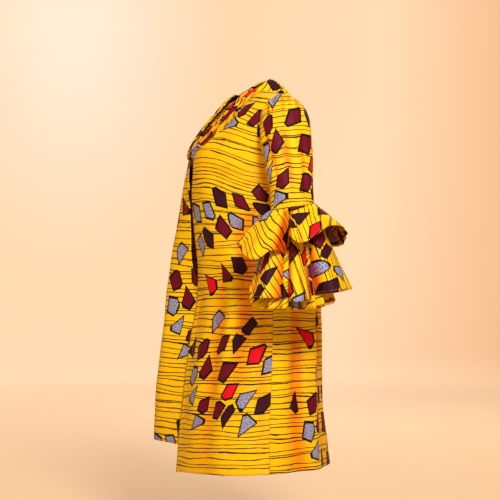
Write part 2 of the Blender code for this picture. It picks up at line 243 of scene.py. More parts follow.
# The back: one panel of printed cotton from the neck to the hem, with its edges turned in at
# the seams and the hem. Its form, the fronts' and the armholes' come from the same sections.
CLOTH = 0.0006
SEAM_GAP = 0.0002
FOLD_DEPTH = 0.0015
ARMPIT = -0.250
BUST = -0.164
FRONT_ROUNDNESS = 1.15
SIDE_ROUNDNESS = 2.0
ROUNDER_FROM_X = 0.085
FLAT_TOP_FROM = 0.85
BACK_ROUNDNESS = 2.5
Section = namedtuple("Section", "level half_width centre_y right_front left_front back")
SECTIONS = [Section(*row) for row in (
    (0.000, 0.200, 0.045, 0.190, 0.190, 0.103),
    (-0.066, 0.184, 0.045, 0.190, 0.190, 0.103),
    (-0.115, 0.173, 0.045, 0.189, 0.189, 0.103),
    (-0.164, 0.166, 0.045, 0.189, 0.189, 0.103),
    (-0.250, 0.168, 0.040, 0.204, 0.186, 0.118),
    (-0.325, 0.176, 0.035, 0.216, 0.178, 0.133),
    (-0.400, 0.185, 0.027, 0.222, 0.163, 0.151),
    (-0.480, 0.193, 0.020, 0.227, 0.149, 0.168),
    (-0.545, 0.200, 0.015, 0.231, 0.141, 0.182),
    (-0.675, 0.215, 0.005, 0.238, 0.150, 0.193),
    (-0.805, 0.232, -0.005, 0.240, 0.158, 0.204),
    (-0.908, 0.247, -0.012, 0.236, 0.162, 0.222),
    (-1.000, 0.258, -0.014, 0.236, 0.168, 0.236),
)]
SWING_FROM = math.radians(5)
SWING_SPREAD = math.radians(35)
SHOULDER_SLOPE = 0.20
SHOULDER_POINT_X = 0.188
SHOULDER_POINT_Y = 0.045
NECK_HALF_WIDTH = 0.070
NECK_SIDE_Z = -0.006
NECK_BACK_Y = 0.073
NECK_BACK_RISE = 0.040
NECK_STAND = 4
Fold = namedtuple("Fold", "angle spread depth top bottom")
FOLDS = [Fold(*row) for row in (
    (58, 10, 0.012, -0.28, -0.70),
    (34, 8, 0.006, -0.40, -0.95),
    (112, 9, 0.011, -0.45, -1.05),
    (143, 9, 0.008, -0.35, -1.05),
    (180, 11, 0.006, -0.30, -1.05),
    (216, 9, 0.009, -0.40, -1.05),
    (250, 9, 0.011, -0.45, -1.05),
    (302, 10, 0.011, -0.28, -0.75),
    (330, 8, 0.006, -0.50, -1.05),
)]
FOLD_STARTS_OVER = 0.16
FOLD_ENDS_OVER = 0.12
# Creases run from one turn and level to another, in degrees and millimetres. A negative depth
# is a ridge.
Crease = namedtuple("Crease", "turn level end_turn end_level width depth")
CREASES = [Crease(a, b / 1000, c, d / 1000, e / 1000, f / 1000) for a, b, c, d, e, f in (
    (20, -205, 74, -238, 12, 3),
    (34, -170, 80, -168, 13, -2.2),
    (84, -205, 58, -214, 8, 2.6),
    (86, -238, 52, -262, 10, 3),
    (26, -150, 60, -120, 14, 1.8),
    (78, -290, 46, -420, 19, 5),
    (70, -300, 62, -640, 21, 6.5),
    (50, -330, 47, -760, 17, -4.5),
    (40, -450, 31, -900, 20, 3.5),
    (21, -520, 15, -950, 18, -3),
    (79, -430, 83, -960, 20, 4),
    (96, -350, 101, -900, 16, -3.5),
    (110, -460, 117, -1000, 14, 6),
    (126, -330, 131, -1000, 27, -8.5),
    (95, -205, 122, -222, 9, 2.8),
    (94, -240, 128, -270, 10, 3),
    (128, -120, 162, -200, 15, 2.2),
    (150, -250, 146, -850, 21, 5),
    (168, -200, 172, -900, 21, -3),
    (191, -220, 186, -880, 19, 4),
    (230, -110, 201, -190, 16, 2.4),
    (208, -300, 214, -950, 18, 5),
    (233, -300, 228, -900, 20, -3.5),
    (266, -210, 236, -225, 9, 2.8),
    (246, -400, 251, -980, 16, 5),
    (270, -350, 274, -940, 19, -3),
    (284, -300, 297, -700, 20, 6),
    (311, -350, 317, -900, 20, 4),
    (338, -205, 288, -240, 12, 3),
    (276, -236, 306, -262, 10, 3),
    (341, -550, 346, -880, 18, -3),
)]
CREASE_RADIUS = 0.19
CREASE_ENDS = 0.7
Ripple = namedtuple("Ripple", "depth around down start bars bar_start")
RIPPLES = (
    Ripple(0.0012, 47, 9, 0.0, 13, 2),
    Ripple(0.0007, 83, -21, 1.3, 31, 0),
)
SMOOTH_ABOVE = 0.05
FOLD_SHADE_DEPTH = 0.024
CREASE_SHADE_DEPTH = 0.012
DEEPEST_SHADE = 0.62
NORMAL_STEP = 0.004
Hem = namedtuple("Hem", "left_edge left_side back_middle right_side right_edge")
HEM = Hem(-0.985, -0.963, -0.966, -0.945, -0.920)
Armhole = namedtuple("Armhole", "level front_x back_x")
ARMHOLE = [Armhole(*row) for row in (
    (0.000, 0.188, 0.188),
    (-0.030, 0.181, 0.179),
    (-0.066, 0.172, 0.168),
    (-0.115, 0.164, 0.158),
    (-0.164, 0.161, 0.155),
    (-0.210, 0.164, 0.160),
    (-0.250, 0.168, 0.168),
)]


def smooth(value):
    value = np.clip(value, 0.0, 1.0)
    return value * value * (3 - 2 * value)


def blend(start, end, share):
    return start + (end - start) * share


def bell(away, width):
    return np.exp(-((away / width) ** 2))


def faded(value, start, fade_in, end, fade_out):
    """One from a start to an end, with a soft fade inside each."""
    return smooth((value - start) / fade_in) * smooth((end - value) / fade_out)


def unit(vectors):
    return vectors / np.linalg.norm(vectors, axis=-1, keepdims=True)


def degrees_from(degrees, centre):
    """The shorter way round from one turn to another, in degrees."""
    return (degrees - centre + 180) % 360 - 180


def on_curve(places, values, at):
    """Reads a table's values at any place, on a smooth curve through its rows."""
    slopes = np.empty_like(values)
    slopes[1:-1] = (values[2:] - values[:-2]) / (places[2:] - places[:-2])
    slopes[0] = (values[1] - values[0]) / (places[1] - places[0])
    slopes[-1] = (values[-1] - values[-2]) / (places[-1] - places[-2])
    i = np.clip(np.searchsorted(places, at) - 1, 0, len(places) - 2)
    step = places[i + 1] - places[i]
    t = (at - places[i]) / step
    return (
        (2 * t**3 - 3 * t**2 + 1) * values[i]
        + (t**3 - 2 * t**2 + t) * step * slopes[i]
        + (3 * t**2 - 2 * t**3) * values[i + 1]
        + (t**3 - t**2) * step * slopes[i + 1]
    )


def read(rows, column, level):
    """Reads one column of a table at each level of an array."""
    levels = np.array([row.level for row in reversed(rows)])
    values = np.array([getattr(row, column) for row in reversed(rows)])
    return on_curve(levels, values, np.clip(level, levels[0], levels[-1]))


def broad_folds(turn, height):
    """How deep the broad folds lie at each turn and height."""
    depth = np.zeros_like(turn)
    for fold in FOLDS:
        fade = smooth((fold.top - height) / FOLD_STARTS_OVER)
        fade = fade * smooth((height - fold.bottom) / FOLD_ENDS_OVER + 1)
        depth = depth + fold.depth * fade * bell(degrees_from(np.degrees(turn), fold.angle), fold.spread)
    return depth


def body(turn, level):
    """Points on the body's outer face, by the turn from the front's middle and the level."""
    at_back = np.cos(turn) < 0
    x = read(SECTIONS, "half_width", level) * np.sin(turn)
    swing = smooth((SWING_FROM - turn) / SWING_SPREAD)
    front = blend(read(SECTIONS, "left_front", level), read(SECTIONS, "right_front", level), swing)
    depth = np.where(at_back, read(SECTIONS, "back", level), front)
    y = read(SECTIONS, "centre_y", level) - depth * np.cos(turn)
    dent = broad_folds(turn, level)
    low = np.stack([x - dent * np.sin(turn), y + dent * np.cos(turn), level], axis=-1)

    above = np.clip(1 - level / BUST, 0, 1)
    towards_side = (abs(x) - ROUNDER_FROM_X) / (SHOULDER_POINT_X - ROUNDER_FROM_X)
    towards_ridge = (above - FLAT_TOP_FROM) / (1 - FLAT_TOP_FROM)
    rounder = np.maximum(smooth(towards_side), smooth(towards_ridge))
    roundness = np.where(at_back, BACK_ROUNDNESS, blend(FRONT_ROUNDNESS, SIDE_ROUNDNESS, rounder))
    rise, keep = (wave(math.pi / 2 * above) ** (2 / roundness) for wave in (np.sin, np.cos))
    beyond_neck = abs(x) - NECK_HALF_WIDTH
    ridge_y = SHOULDER_POINT_Y * np.maximum(beyond_neck, 0) / (SHOULDER_POINT_X - NECK_HALF_WIDTH)
    ridge_z = NECK_SIDE_Z - SHOULDER_SLOPE * beyond_neck
    neck_z = blend(NECK_BACK_RISE, NECK_SIDE_Z, np.minimum(abs(x) / NECK_HALF_WIDTH, 1) ** NECK_STAND)
    ridge_z = np.where(at_back & (beyond_neck < 0), neck_z, ridge_z)
    high = np.stack([x, blend(ridge_y, y, keep), blend(BUST, ridge_z, rise)], axis=-1)
    return np.where((level > BUST)[..., None], high, low)


def worn(turn, level):
    """The body with its creases: its points, its outward directions and the painted shade each point gets
    for lying deep in a fold or crease.
    """
    around = body(turn + NORMAL_STEP, level) - body(turn - NORMAL_STEP, level)
    upward = body(turn, np.minimum(level + NORMAL_STEP, -1e-4)) - body(turn, level - NORMAL_STEP)
    normal = unit(np.cross(around, upward))
    points = body(turn, level)
    height = points[..., 2]
    depth = np.zeros_like(turn)
    for crease in CREASES:
        s = np.radians(degrees_from(np.degrees(turn), crease.turn)) * CREASE_RADIUS
        z = height - crease.level
        run = math.radians(crease.end_turn - crease.turn) * CREASE_RADIUS
        fall = crease.end_level - crease.level
        t = np.clip((s * run + z * fall) / (run**2 + fall**2), 0, 1)
        away = np.hypot(s - run * t, z - fall * t)
        depth += crease.depth * np.sin(math.pi * t) ** CREASE_ENDS * bell(away, crease.width)
    # Painted shade, more in deeper folds and creases.
    fold_shade = broad_folds(turn, height) / FOLD_SHADE_DEPTH + depth / CREASE_SHADE_DEPTH
    s = turn * CREASE_RADIUS
    for ripple in RIPPLES:
        wave = np.sin(ripple.around * s + ripple.down * height + ripple.start)
        depth += ripple.depth * wave * np.sin(ripple.bars * height + ripple.bar_start)
    depth *= smooth(-height / SMOOTH_ABOVE)
    return points - normal * depth[..., None], normal, np.clip(fold_shade, 0, DEEPEST_SHADE)


def angle_at(x, level):
    return np.arcsin(np.clip(x / read(SECTIONS, "half_width", level), -1, 1))


def panel_rows(low, high, hem_level, hem_middle, armhole_side):
    """The levels of a panel's rows, their heights in its flat pattern, the turns of its outer edge
    and the number of the bust's row. The low rows reach up to the armpit.
    """
    shares = np.linspace(0, 1, low)
    levels = np.concatenate([
        np.linspace(ARMPIT, BUST, high // 3, endpoint=False)[1:],
        BUST * (1 - np.linspace(0, 1, high)),
    ])
    columns = len(hem_level)
    low_levels = blend(hem_level[None, :], ARMPIT, shares[:, None])
    level = np.concatenate([low_levels, np.repeat(levels[:, None], columns, axis=1)])
    height = np.concatenate([blend(hem_middle, ARMPIT, shares), levels])
    outer = np.full((len(level), 1), math.pi / 2)
    outer[low:, 0] = angle_at(read(ARMHOLE, armhole_side, levels), levels)
    outer -= SEAM_GAP / 2 / SHOULDER_POINT_X
    return level, np.repeat(height[:, None], columns, axis=1), outer, low + high // 3 - 1


def way_along(points, axis):
    """How far each point lies from the first one along its row or column of the cloth."""
    steps = np.linalg.norm(np.diff(points, axis=axis), axis=-1)
    return np.insert(np.cumsum(steps, axis=axis), 0, 0.0, axis=axis)


# A turning lies along a sheet's first or last row, axis 0, or its first or last column, axis 1.
Turning = namedtuple("Turning", "axis at_end breadth")
PANEL_TURNINGS = (Turning(1, True, 0.012), Turning(0, False, 0.025), Turning(0, True, 0.010))
TURNED_EDGE_STEP = 0.04


def turned_in(sheet, *turnings):
    """Adds strips of cloth turned in along edges of a sheet, as at a hem or a seam."""
    for axis, at_end, breadth in turnings:
        points, normals, uv = (
            np.moveaxis(np.flip(array, axis) if at_end else array, axis, 1) for array in sheet)
        edge = points[:, 0]
        inward = points[:, 1] - edge
        gap = np.linalg.norm(inward, axis=-1, keepdims=True).mean()
        count = max(int(round(breadth / gap)), 1)
        strip = slice(count, None, -1)
        under = points[:, strip] - normals[:, strip] * FOLD_DEPTH
        rounding = edge - normals[:, 0] * FOLD_DEPTH / 2 - inward * TURNED_EDGE_STEP * CLOTH / gap
        sheet = [
            np.concatenate(arrays, axis=1) for arrays in (
                (under, rounding[:, None], points),
                (normals[:, strip], normals[:, :1], normals),
                (uv[:, :1] * 2 - uv[:, strip], uv[:, :1], uv),
            )
        ]
        sheet = [np.moveaxis(array, 1, axis) for array in sheet]
        sheet = [np.flip(array, axis) if at_end else array for array in sheet]
    return sheet


# Painted shade for the coat's inside: the wrong side's print is multiplied by this colour.
WRONG_SIDE_SHADE = (0.56, 0.33, 0.41, 1)


def wrong_side(material):
    """The same cloth seen from its wrong side, with its print darkened all over as painted shade."""
    inside = material.copy()
    inside.name = f"{material.name}, wrong side"
    for element in inside.node_tree.nodes["fold glow"].color_ramp.elements:
        element.color = WRONG_SIDE_SHADE
    return inside


def lay_cloth(name, node, sheet, cotton, closed=False, flip=False):
    """Lays a flat grid of cloth on a sheet's points, and puts it in the frame for its solid.

    The UV map holds the sheet's flat pattern, in metres.
    """
    points, _, uv = sheet
    rows, columns = points.shape[0] - 1, points.shape[1] - 1
    bm = bmesh.new()
    bmesh.ops.create_grid(bm, x_segments=columns, y_segments=rows, size=0.5)
    flat_pattern = bm.loops.layers.uv.new("cloth")
    fold_shade_layer = bm.verts.layers.float.new("fold")
    bm.verts.index_update()
    place = {}
    for vert in bm.verts:
        spot = (round((vert.co.y + 0.5) * rows), round((vert.co.x + 0.5) * columns))
        place[vert.index] = spot
        vert.co = points[spot]
        # The painted shade for folds goes into the mesh's fold attribute.
        vert[fold_shade_layer] = min(max(uv[spot][2], 0.0), 1.0)
    area = 0.0
    for face in bm.faces:
        for loop in face.loops:
            loop[flat_pattern].uv = uv[place[loop.vert.index]][:2]
        corners = [loop[flat_pattern].uv for loop in face.loops]
        area += abs(sum(a.cross(b) for a, b in zip(corners, corners[1:] + corners[:1]))) / 2
    if closed:
        bmesh.ops.remove_doubles(bm, verts=bm.verts, dist=1e-6)
    if flip:
        bmesh.ops.reverse_faces(bm, faces=bm.faces)
    piece = place_mesh(name, bm, cotton, wrong_side(cotton))
    wall = piece.modifiers.new("thickness", "SOLIDIFY")
    wall.thickness = CLOTH
    wall.offset = -1
    wall.material_offset = 1
    breadth, length = (float(uv[..., i].max() - uv[..., i].min()) for i in (0, 1))
    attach(piece, "root")
    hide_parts(node)
    area = min(area, breadth * length)


STITCH_PITCH = 0.0034
STITCH_LENGTH = 0.0027
STITCH_BREADTH = 0.0005
STITCH_STAND = 0.0001
HEM_DEPTH = 0.022
EDGE_DEPTH = 0.019


def inset_line(points, normals, inset):
    """A line a set breadth inside the first row of a grid of points, and its outward side."""
    reach = way_along(points, 0)
    row = (reach[:-1] < inset).sum(axis=0) - 1
    column = np.arange(points.shape[1])
    share = (inset - reach[row, column]) / (reach[row + 1, column] - reach[row, column])
    return blend(points[row, column], points[row + 1, column], share[:, None]), normals[row, column]


def points_at(ways, lengths, line):
    """The points on a line at these ways along it."""
    return np.stack([np.interp(ways, lengths, line[:, i]) for i in range(3)], axis=-1)


def stitch(name, lines, thread):
    """Sews rows of machine stitches along lines on the cloth."""
    bm = bmesh.new()
    for line, outward in lines:
        lengths = way_along(line, 0)
        middles = np.arange(STITCH_PITCH, lengths[-1] - STITCH_PITCH, STITCH_PITCH)
        starts = points_at(middles - STITCH_LENGTH / 2, lengths, line)
        ends = points_at(middles + STITCH_LENGTH / 2, lengths, line)
        for start, end, lift in zip(starts, ends, points_at(middles, lengths, outward)):
            lie = Vector(end - start).to_track_quat("Z", "Y").to_matrix().to_4x4()
            place = Matrix.Translation((start + end) / 2 + lift * STITCH_STAND) @ lie
            bmesh.ops.create_cone(
                bm, cap_ends=True, segments=5, radius1=STITCH_BREADTH / 2, radius2=STITCH_BREADTH / 2,
                depth=STITCH_LENGTH, matrix=place)
    row = place_mesh(name, bm, thread)
    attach(row, "root")


def new_group(name, **results):
    """Makes a node group that reads a place on the cloth, and gives results of these kinds."""
    group = bpy.data.node_groups.new(name, "ShaderNodeTree")
    group.interface.new_socket("Vector", in_out="INPUT", socket_type="NodeSocketVector")
    for result, kind in results.items():
        group.interface.new_socket(result, in_out="OUTPUT", socket_type=f"NodeSocket{kind}")
    place = group.nodes.new("NodeGroupInput").outputs["Vector"]
    return group, Nodes(group), place, group.nodes.new("NodeGroupOutput").inputs


YELLOW = (0.97, 0.63, 0.002, 1)
AMBER = (0.95, 0.36, 0.002, 1)
LINE_BROWN = (0.040, 0.008, 0.003, 1)
OUTLINE = (0.010, 0.003, 0.007, 1)
PLUM = (0.042, 0.005, 0.018, 1)
CRIMSON = (0.145, 0.003, 0.019, 1)
RED = (0.78, 0.003, 0.016, 1)
LILAC = (0.44, 0.47, 0.74, 1)
LILAC_SPECK = (0.095, 0.095, 0.20, 1)
FILLS = ((0.0, PLUM), (0.34, CRIMSON), (0.60, LILAC), (0.87, RED))
AMBER_SHARE = 0.30
AMBER_SCALE = 5.0
SPECK_SCALE = 430
SPECKS_OVER = 0.51
LINE_PITCH = 0.0120
LINE_LOOSENESS = 0.90
LINE_HALF_BREADTH = 0.00092
BREADTH_VARIES = 0.0006
BREADTH_TREMBLES = 1.1
LINE_SHARPNESS = 3500
WANDER = 0.020
WANDER_SCALE = (7.0, 26.0, 0.0)
TREMBLE = 0.0012
TREMBLE_SCALE = 70
SPRAY_ACROSS = 0.36
SPRAY_ALONG = 0.39
SPRAY_HALF_ACROSS = 0.180
SPRAY_HALF_ALONG = 0.158
SPRAY_REPEAT = (3.0, 2.0)
SPRAY_TURN = 1.5
SPRAY_START = (40.0, 40.0, 0.0)
RAGGED_RIM = 0.20
MOTIF_ACROSS = 0.050
MOTIF_ALONG = 0.075
MOTIF_LOOSENESS = 0.45
MOTIF_TURN = 1.3
NOTCHED_OVER = 0.66
NOTCH = 0.75
KITE_HALF_BREADTH = 0.40
KITE_VARIES = 0.14
KITE_AHEAD = 0.42
KITE_BEHIND = -0.68
EDGE_SLOPE = -4.0
EDGE_START = 1.14
FILL_REACH = 0.75
MOTIF_SHARPNESS = 20
COLOUR_SHUFFLE = 7.3

wax_print, nodes, place, results = new_group("wax print", Color="Color")
along, up, _ = nodes.split(place)

# Uneven lines: cells of one dimension. Each line wanders by itself and has its own breadth.
wander = nodes.math("SUBTRACT", nodes.noise(nodes.vector("MULTIPLY", place, WANDER_SCALE), 1.0), 0.5)
tremble = nodes.math("SUBTRACT", nodes.noise(place, TREMBLE_SCALE), 0.5)
line_place = nodes.times_plus(tremble, TREMBLE, nodes.times_plus(wander, WANDER, up))
lines = nodes.add("TexVoronoi", {
    "W": nodes.math("DIVIDE", line_place, LINE_PITCH), "Scale": 1.0, "Randomness": LINE_LOOSENESS,
}, voronoi_dimensions="1D").outputs
line_dice = nodes.add("SeparateColor", {"Color": lines["Color"]}).outputs[0]
half_breadth = nodes.times(
    nodes.times_plus(line_dice, BREADTH_VARIES, LINE_HALF_BREADTH),
    nodes.times_plus(tremble, BREADTH_TREMBLES, 1.0))
within = nodes.math("SUBTRACT", half_breadth, nodes.times(lines["Distance"], LINE_PITCH))
line_mask = nodes.limited(nodes.times_plus(within, LINE_SHARPNESS, 0.5))

# Sprays of motifs in a half drop. A spray is turned its own way and split into slim cells, and
# each cell holds one kite, lozenge or dart.
column_at = nodes.math("DIVIDE", along, SPRAY_ACROSS)
column = nodes.math("FLOOR", column_at)
odd = nodes.math("FLOORED_MODULO", column, 2.0)
row_at = nodes.times_plus(odd, 0.5, nodes.math("DIVIDE", up, SPRAY_ALONG))
row = nodes.math("FLOOR", row_at)
which = nodes.joined(*(
    nodes.math("FLOORED_MODULO", number, repeat) for number, repeat in zip((column, row), SPRAY_REPEAT)))
spray_dice = nodes.add("TexWhiteNoise", {"Vector": which}, noise_dimensions="2D").outputs
from_middle = nodes.joined(*(
    nodes.times(nodes.math("SUBTRACT", nodes.math("FRACT", at), 0.5), pitch)
    for at, pitch in ((column_at, SPRAY_ACROSS), (row_at, SPRAY_ALONG))))
spray_turn = nodes.times_plus(spray_dice["Value"], SPRAY_TURN, -SPRAY_TURN / 2)
start = nodes.vector("MULTIPLY", spray_dice["Color"], SPRAY_START)
in_cells = nodes.vector("DIVIDE", nodes.turned(from_middle, spray_turn), (MOTIF_ACROSS, MOTIF_ALONG, 1.0))
in_cells = nodes.vector("ADD", in_cells, start)
cell, cell_edge = (
    nodes.add("TexVoronoi", {
        "Vector": in_cells, "Scale": 1.0, "Randomness": MOTIF_LOOSENESS,
    }, voronoi_dimensions="2D", feature=feature).outputs for feature in ("F1", "DISTANCE_TO_EDGE"))
dice = nodes.add("SeparateColor", {"Color": cell["Color"]}).outputs
pointing_down = nodes.math("GREATER_THAN", dice[1], 0.5)
motif_turn = nodes.times_plus(dice[0], MOTIF_TURN, -MOTIF_TURN / 2)
motif_turn = nodes.times_plus(pointing_down, math.pi, motif_turn)
spun = nodes.turned(nodes.vector("SUBTRACT", in_cells, cell["Position"]), motif_turn)
sideways, ahead, _ = nodes.split(spun)
beside = nodes.math("ABSOLUTE", sideways)
notch = nodes.times(nodes.math("GREATER_THAN", dice[2], NOTCHED_OVER), NOTCH)
ahead = nodes.times_plus(notch, beside, ahead)
half_wide = nodes.times_plus(dice[1], KITE_VARIES, KITE_HALF_BREADTH)
over = nodes.math("DIVIDE", nodes.math("MAXIMUM", ahead, 0.0), KITE_AHEAD)
under = nodes.math("DIVIDE", nodes.math("MINIMUM", ahead, 0.0), KITE_BEHIND)
kite = nodes.math("ADD", nodes.math("DIVIDE", beside, half_wide), nodes.math("ADD", over, under))
kite = nodes.math("MAXIMUM", kite, nodes.times_plus(cell_edge["Distance"], EDGE_SLOPE, EDGE_START))
motif_at = nodes.vector("MULTIPLY", nodes.vector("SUBTRACT", cell["Position"], start), (
    MOTIF_ACROSS / SPRAY_HALF_ACROSS, MOTIF_ALONG / SPRAY_HALF_ALONG, 0.0))
reach = nodes.times_plus(dice[0], RAGGED_RIM, nodes.vector("LENGTH", motif_at))
in_spray = nodes.math("LESS_THAN", reach, 1.0)
whole_motif, motif_fill = (
    nodes.times(in_spray, nodes.limited(
        nodes.times(nodes.math("SUBTRACT", edge, kite), MOTIF_SHARPNESS)))
    for edge in (1.0, FILL_REACH))

colour_dice = nodes.math("FRACT", nodes.times(dice[2], COLOUR_SHUFFLE))
is_lilac = nodes.times(
    nodes.math("GREATER_THAN", colour_dice, FILLS[2][0]), nodes.math("LESS_THAN", colour_dice, FILLS[3][0]))
speckle = nodes.math("GREATER_THAN", nodes.noise(place, SPECK_SCALE, 1.0), SPECKS_OVER)
fill = nodes.ramp(colour_dice, FILLS, "CONSTANT").outputs["Color"]
fill = nodes.mix(nodes.times(is_lilac, speckle), fill, LILAC_SPECK)
ground = nodes.mix(nodes.times(nodes.noise(place, AMBER_SCALE), AMBER_SHARE), YELLOW, AMBER)
printed = nodes.mix(whole_motif, nodes.mix(line_mask, ground, LINE_BROWN), OUTLINE)
nodes.feed(results["Color"], nodes.mix(motif_fill, printed, fill))

THREAD_PITCH = 0.00045
SLUB = 0.8
SLUB_SCALE = 260
PATCH_SCALE = 24
ROUGHNESS = 0.50
ROUGHNESS_VARIES = 0.16
weave, nodes, place, results = new_group("plain weave", Height="Float", Roughness="Float")
warp, weft = (
    nodes.math("SINE", nodes.times(way, math.pi / THREAD_PITCH))
    for way in nodes.split(place)[:2])
threads = nodes.times_plus(nodes.times(warp, weft), 0.5, 0.5)
nodes.feed(results["Height"], nodes.times_plus(nodes.noise(place, SLUB_SCALE, 3.0), SLUB, threads))
patchy = nodes.noise(place, PATCH_SCALE, 3.0)
nodes.feed(results["Roughness"], nodes.times_plus(patchy, ROUGHNESS_VARIES, ROUGHNESS))

HIDDEN_IN_FOLD = 0.021
HIDDEN_ALONG = 0.013
# Painted shade: the ramp multiplies the print towards orange and deep red where the cloth lies in a fold or
# crease.
FOLD_SHADE_TINT = ((0.0, (1, 1, 1, 1)), (0.6, (0.98, 0.54, 0.52, 1)), (1.0, (0.66, 0.13, 0.20, 1)))
WEAVE_DEPTH = 0.00012


def printed_cotton(where, shift, turn=0.0, strip=0.0):
    """Crisp wax-printed cotton, with the print laid in the cloth's own flat pattern.

    Where the cloth lies in strips, as in a band laid in folds, each strip shows another stretch of the
    print. Painted shade darkens the print in folds and creases.
    """
    material, nodes = new_material(f"printed cotton, {where}")
    pattern = shown = nodes.add("UVMap", uv_map="cloth").outputs[0]
    if strip:
        strips = nodes.math("FLOOR", nodes.math("DIVIDE", nodes.split(pattern)["Y"], strip))
        hidden = (nodes.times(strips, way) for way in (HIDDEN_ALONG, HIDDEN_IN_FOLD))
        shown = nodes.vector("ADD", pattern, nodes.joined(*hidden))
    lay = nodes.add("Mapping", {"Vector": shown, "Location": (*shift, 0), "Rotation": (0, 0, turn)})
    dye = nodes.add("Group", {"Vector": lay.outputs[0]}, node_tree=wax_print)
    # Painted shade in folds and creases, read from each mesh's fold attribute.
    shade_tint = nodes.ramp(nodes.add("Attribute", attribute_name="fold").outputs["Fac"], FOLD_SHADE_TINT)
    shade_tint.name = "fold glow"
    surface = nodes.add("Group", {"Vector": pattern}, node_tree=weave).outputs
    bump = nodes.add("Bump", {"Strength": 0.5, "Distance": WEAVE_DEPTH, "Height": surface["Height"]})
    nodes.feed_shader({
        "Base Color": nodes.mix(1.0, dye.outputs["Color"], shade_tint.outputs["Color"], "MULTIPLY"),
        "Roughness": surface["Roughness"],
        "Specular IOR Level": 0.12,
        "Sheen Weight": 0.03,
        "Sheen Roughness": 0.4,
        "Normal": bump.outputs["Normal"],
    })
    return material


THREAD_GOLD = (0.80, 0.36, 0.010, 1)
THREAD_SHADE = (0.42, 0.14, 0.006, 1)
TWIST_SCALE = 900
thread, nodes = new_material("golden thread")
twist = nodes.noise(nodes.add("TexCoord").outputs["Object"], TWIST_SCALE, 1.0)
nodes.feed_shader({
    "Base Color": nodes.mix(twist, THREAD_GOLD, THREAD_SHADE),
    "Roughness": nodes.times_plus(twist, 0.2, 0.35),
    "Sheen Weight": 0.1,
})
EVEN_CLIMB = 0.4


def climb(points, first_row):
    """How far up the cloth each point of the rows from the first one lies, mostly by its own column."""
    own = way_along(points[first_row:], 0)
    return blend(own, own.mean(axis=1, keepdims=True), EVEN_CLIMB)


def flat_pattern(points, start_column, height_of_rows, fold_shade):
    """The cloth's flat pattern: the way along each row from one column, and the height of each row.

    A third column holds the painted shade for folds at each point.
    """
    along = way_along(points, 1)
    along = along - along[:, start_column, None]
    return np.stack([along, height_of_rows, fold_shade], axis=-1)


BACK_COLUMNS = 96
BACK_LOW_ROWS = 120
BACK_HIGH_ROWS = 36
NECK_STITCHES = slice(int(BACK_COLUMNS * 0.32), int(BACK_COLUMNS * 0.69))
NECK_STITCH_INSET = 0.006
across = 1 - 2 * np.linspace(0, 1, BACK_COLUMNS + 1)
hem_side = np.where(across > 0, HEM.left_side, HEM.right_side)
hem_level = blend(HEM.back_middle, hem_side, smooth(abs(across)))
level, height, outer, bust_row = panel_rows(
    BACK_LOW_ROWS, BACK_HIGH_ROWS, hem_level, HEM.back_middle, "back_x")
x_top = SHOULDER_POINT_X * np.sin(across[None, :] * outer) / np.sin(outer)
keep = NECK_BACK_Y * np.sqrt(1 - np.minimum(abs(x_top) / NECK_HALF_WIDTH, 1) ** 2)
keep /= SECTIONS[0].centre_y + SECTIONS[0].back
neck_reach = np.arccos(keep ** (BACK_ROUNDNESS / 2)) / (math.pi / 2)
level = np.where(level > BUST, BUST * (1 - neck_reach * (1 - level / BUST)), level)
points, normals, fold_shade = worn(math.pi - across[None, :] * outer, level)
height[bust_row:] = BUST + climb(points, bust_row)
uv = flat_pattern(points, BACK_COLUMNS // 2, height, fold_shade)
points[-1, :, 1] += SEAM_GAP / 2
back_edges = {1: points[:, 0], -1: points[:, -1]}
neck = (array[::-1, NECK_STITCHES] for array in (points, normals))
seams = [inset_line(points, normals, HEM_DEPTH), inset_line(*neck, NECK_STITCH_INSET)]
stitch("back_stitches", seams, thread)
sheet = turned_in((points, normals, uv), Turning(1, False, 0.012), *PANEL_TURNINGS)
lay_cloth("back_panel", "back", sheet, printed_cotton("back", (0.31, 0.30)))

# The two fronts: free from the foot of the neckline to the hem. The left one hangs back and
# laps over the right one, which swings forward and ends higher.
Edge = namedtuple("Edge", "level left_x right_x")
FRONT_EDGES = [Edge(*row) for row in (
    (-0.150, 0.016, -0.018),
    (-0.225, 0.015, -0.017),
    (-0.265, 0.008, -0.006),
    (-0.360, 0.010, -0.006),
    (-0.450, 0.012, -0.010),
    (-0.525, 0.003, 0.004),
    (-0.620, -0.002, 0.028),
    (-0.800, -0.002, 0.034),
    (-1.000, 0.000, 0.036),
)]
UNDERLAP_FROM = -0.44
UNDERLAP_FADE = 0.10
UNDERLAP_TURN = 0.35
UNDERLAP_SINK = 0.009
LEFT_HEM_CURVE = 0.6
RIGHT_HEM_LIFT = 0.018
BAND_FOOT = -0.186
Seam = namedtuple("Seam", "level x")
BAND_SEAM = [Seam(*row) for row in (
    (0.000, 0.108),
    (-0.072, 0.098),
    (-0.110, 0.070),
    (-0.157, 0.034),
    (BAND_FOOT, 0.016),
)]
FRONT_COLUMNS = 52
FRONT_LOW_ROWS = 130
FRONT_HIGH_ROWS = 40
BUST_DRAPE = 0.046
DRAPE_FROM_DEGREES = 22
DRAPE_SPREAD_DEGREES = 62
DRAPE_BOTTOM = -0.40
DRAPE_FADE = 0.14
DRAPE_AT_SHOULDER = 0.4
CHEST_HEIGHT = 0.16
CHEST_EASE = 1.2
CHEST_LEVEL = 0.8
HANDS = (("left", 1), ("right", -1))
FRONT_SHIFTS = {"left": (0.02, 0.17), "right": (0.17, -0.005)}
front_edges = {}
